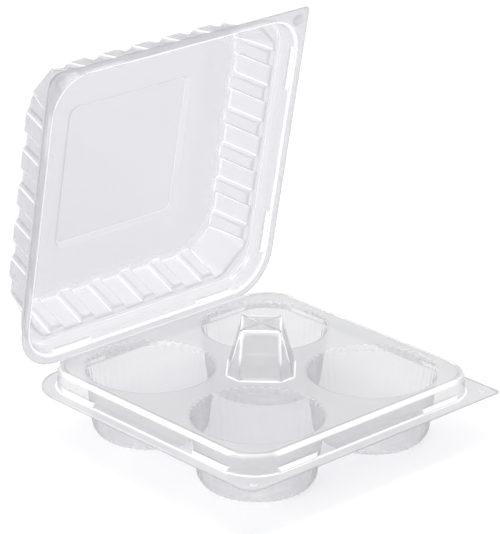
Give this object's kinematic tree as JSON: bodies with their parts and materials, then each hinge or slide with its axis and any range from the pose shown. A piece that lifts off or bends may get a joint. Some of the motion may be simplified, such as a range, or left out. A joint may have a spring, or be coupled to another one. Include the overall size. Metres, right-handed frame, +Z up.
{
  "type": "hinged clear clamshell pack",
  "caption": "Clear moulded clamshell pack, open: tray of fluted round cups about a post, snap rim, hinged ribbed lid.",
  "frame": {"origin": "on the surface that the pack stands on, under the middle of the open pack's bounding box", "axes": "+X along the hinge towards the side of the pull ears, +Y from the front to the hinge and the open lid, +Z up"},
  "size_m": [0.203, 0.238, 0.2286],
  "materials": {
    "clear_sheet": "clear thermoformed sheet, gloss",
    "clear_sheet_lid": "clear thermoformed sheet, gloss"
  },
  "bodies": {
    "tray": {"base_tray": "clear_sheet"},
    "lid": {"lid": "clear_sheet_lid"}
  },
  "joints": [
    {"name": "lid_hinge", "type": "hinge", "parent": "tray", "child": "lid", "pos_m": [0, 0.08484, 0.028], "axis": [-1, 0, 0], "range_deg": [-79.5, 100.5]}
  ]
}
